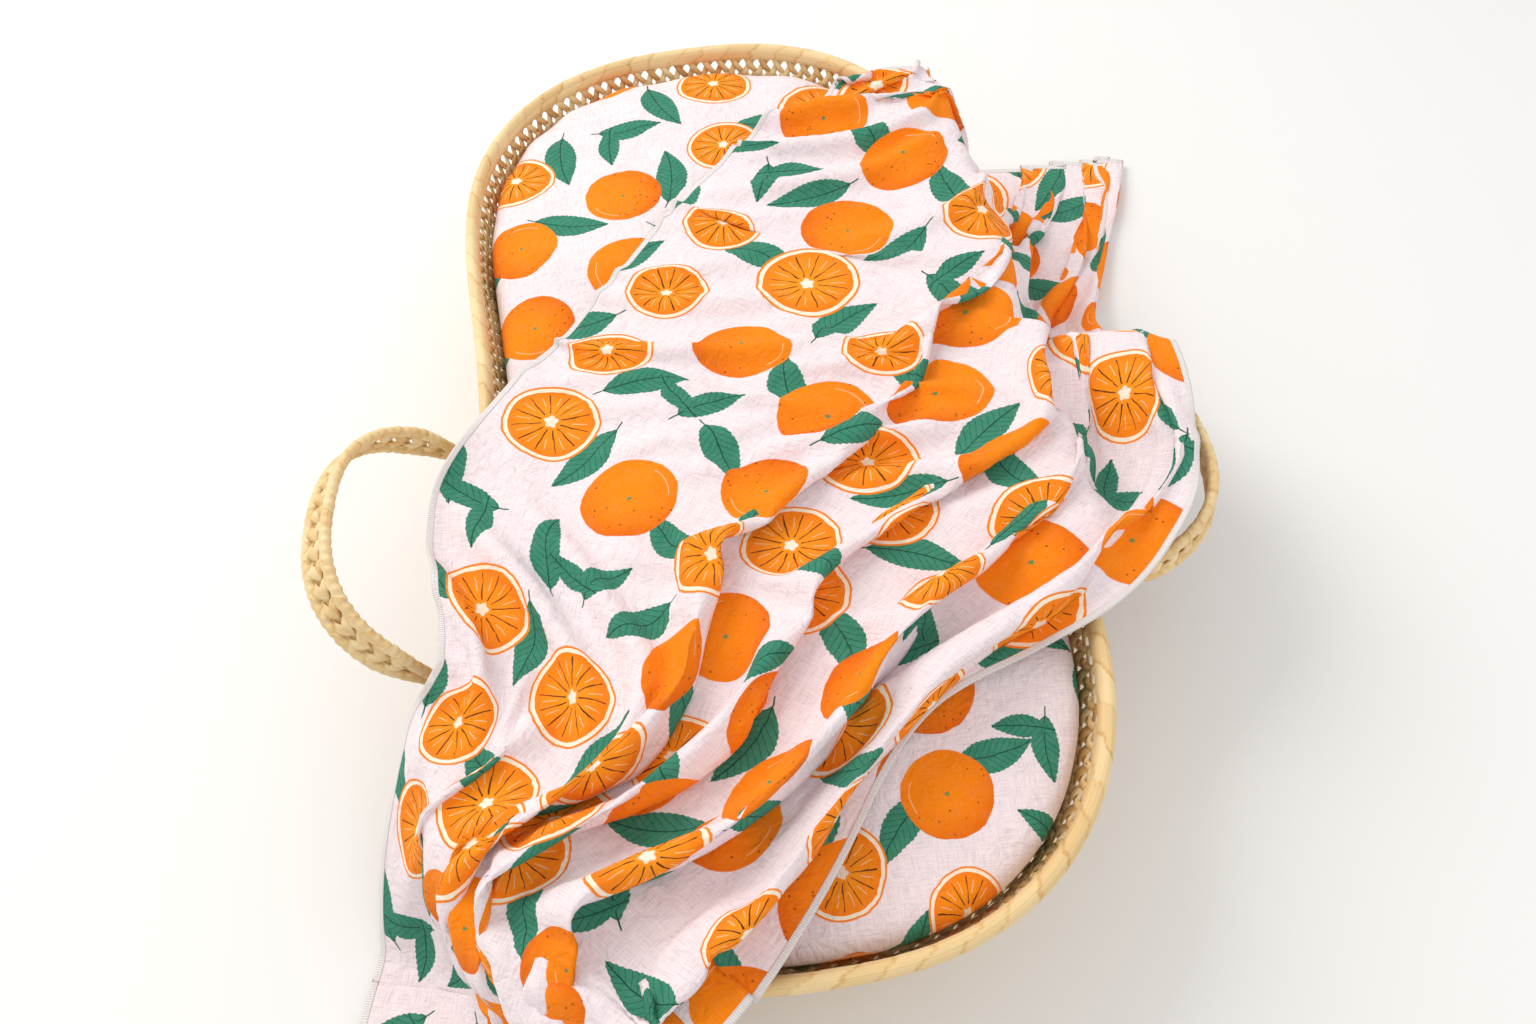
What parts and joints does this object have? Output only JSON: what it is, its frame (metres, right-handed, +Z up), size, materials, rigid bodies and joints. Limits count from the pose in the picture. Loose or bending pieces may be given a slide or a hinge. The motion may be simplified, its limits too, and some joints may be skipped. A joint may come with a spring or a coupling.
{
  "type": "baby changing basket",
  "caption": "Low oval palm-leaf basket with swinging strap handles, a mattress in a fitted sheet and a muslin blanket draped over it.",
  "frame": {"origin": "middle of the base mat's underside, on the floor", "axes": "+Z up, +Y along the basket to its head end, +X to the right"},
  "size_m": [0.7238, 0.88, 0.1918],
  "materials": {
    "palm_leaf": "satin plaited palm leaf",
    "raffia": "twisted fibre",
    "reed": "split reed",
    "foam": "quilted pad cover",
    "printed_muslin": "crinkled double gauze with a printed citrus pattern",
    "elastic": "elastic cord"
  },
  "bodies": {
    "basket": {"base_centre": "palm_leaf", "base_course_1": "palm_leaf", "base_course_2": "palm_leaf", "base_course_3": "palm_leaf", "base_seam_1": "raffia", "base_seam_2": "raffia", "base_seam_3": "raffia", "left_handle_lashing_foot": "raffia", "left_handle_lashing_head": "raffia", "right_handle_lashing_foot": "raffia", "right_handle_lashing_head": "raffia", "rim_hoop": "reed", "rim_wrap": "palm_leaf", "wall_course_1": "palm_leaf", "wall_course_2": "palm_leaf", "wall_course_3": "palm_leaf", "wall_seam_1": "raffia", "wall_seam_2": "raffia", "wall_seam_3": "raffia"},
    "left_handle": {"left_handle_edge_inner": "palm_leaf", "left_handle_edge_outer": "palm_leaf", "left_handle_eye_foot": "palm_leaf", "left_handle_eye_head": "palm_leaf", "left_handle_strap": "palm_leaf"},
    "right_handle": {"right_handle_edge_inner": "palm_leaf", "right_handle_edge_outer": "palm_leaf", "right_handle_eye_foot": "palm_leaf", "right_handle_eye_head": "palm_leaf", "right_handle_strap": "palm_leaf"},
    "mattress": {"mattress_core": "foam", "fitted_sheet": "printed_muslin", "sheet_elastic": "elastic"},
    "blanket": {"swaddle_blanket": "printed_muslin"}
  },
  "joints": [
    {"name": "left_handle_swing", "type": "hinge", "parent": "basket", "child": "left_handle", "pos_m": [-0.21162, -0.105, 0.103], "axis": [-0.0669, -0.9978, 0], "range_deg": [-47, 78]},
    {"name": "right_handle_swing", "type": "hinge", "parent": "basket", "child": "right_handle", "pos_m": [0.21162, -0.105, 0.103], "axis": [-0.0669, 0.9978, 0], "range_deg": [-83, 42]},
    {"name": "mattress_lift", "type": "slide", "parent": "basket", "child": "mattress", "axis": [0, 0, 1], "range_m": [0, 0.25]},
    {"name": "blanket_lift", "type": "slide", "parent": "mattress", "child": "blanket", "axis": [0, 0, 1], "range_m": [0, 0.25]}
  ]
}
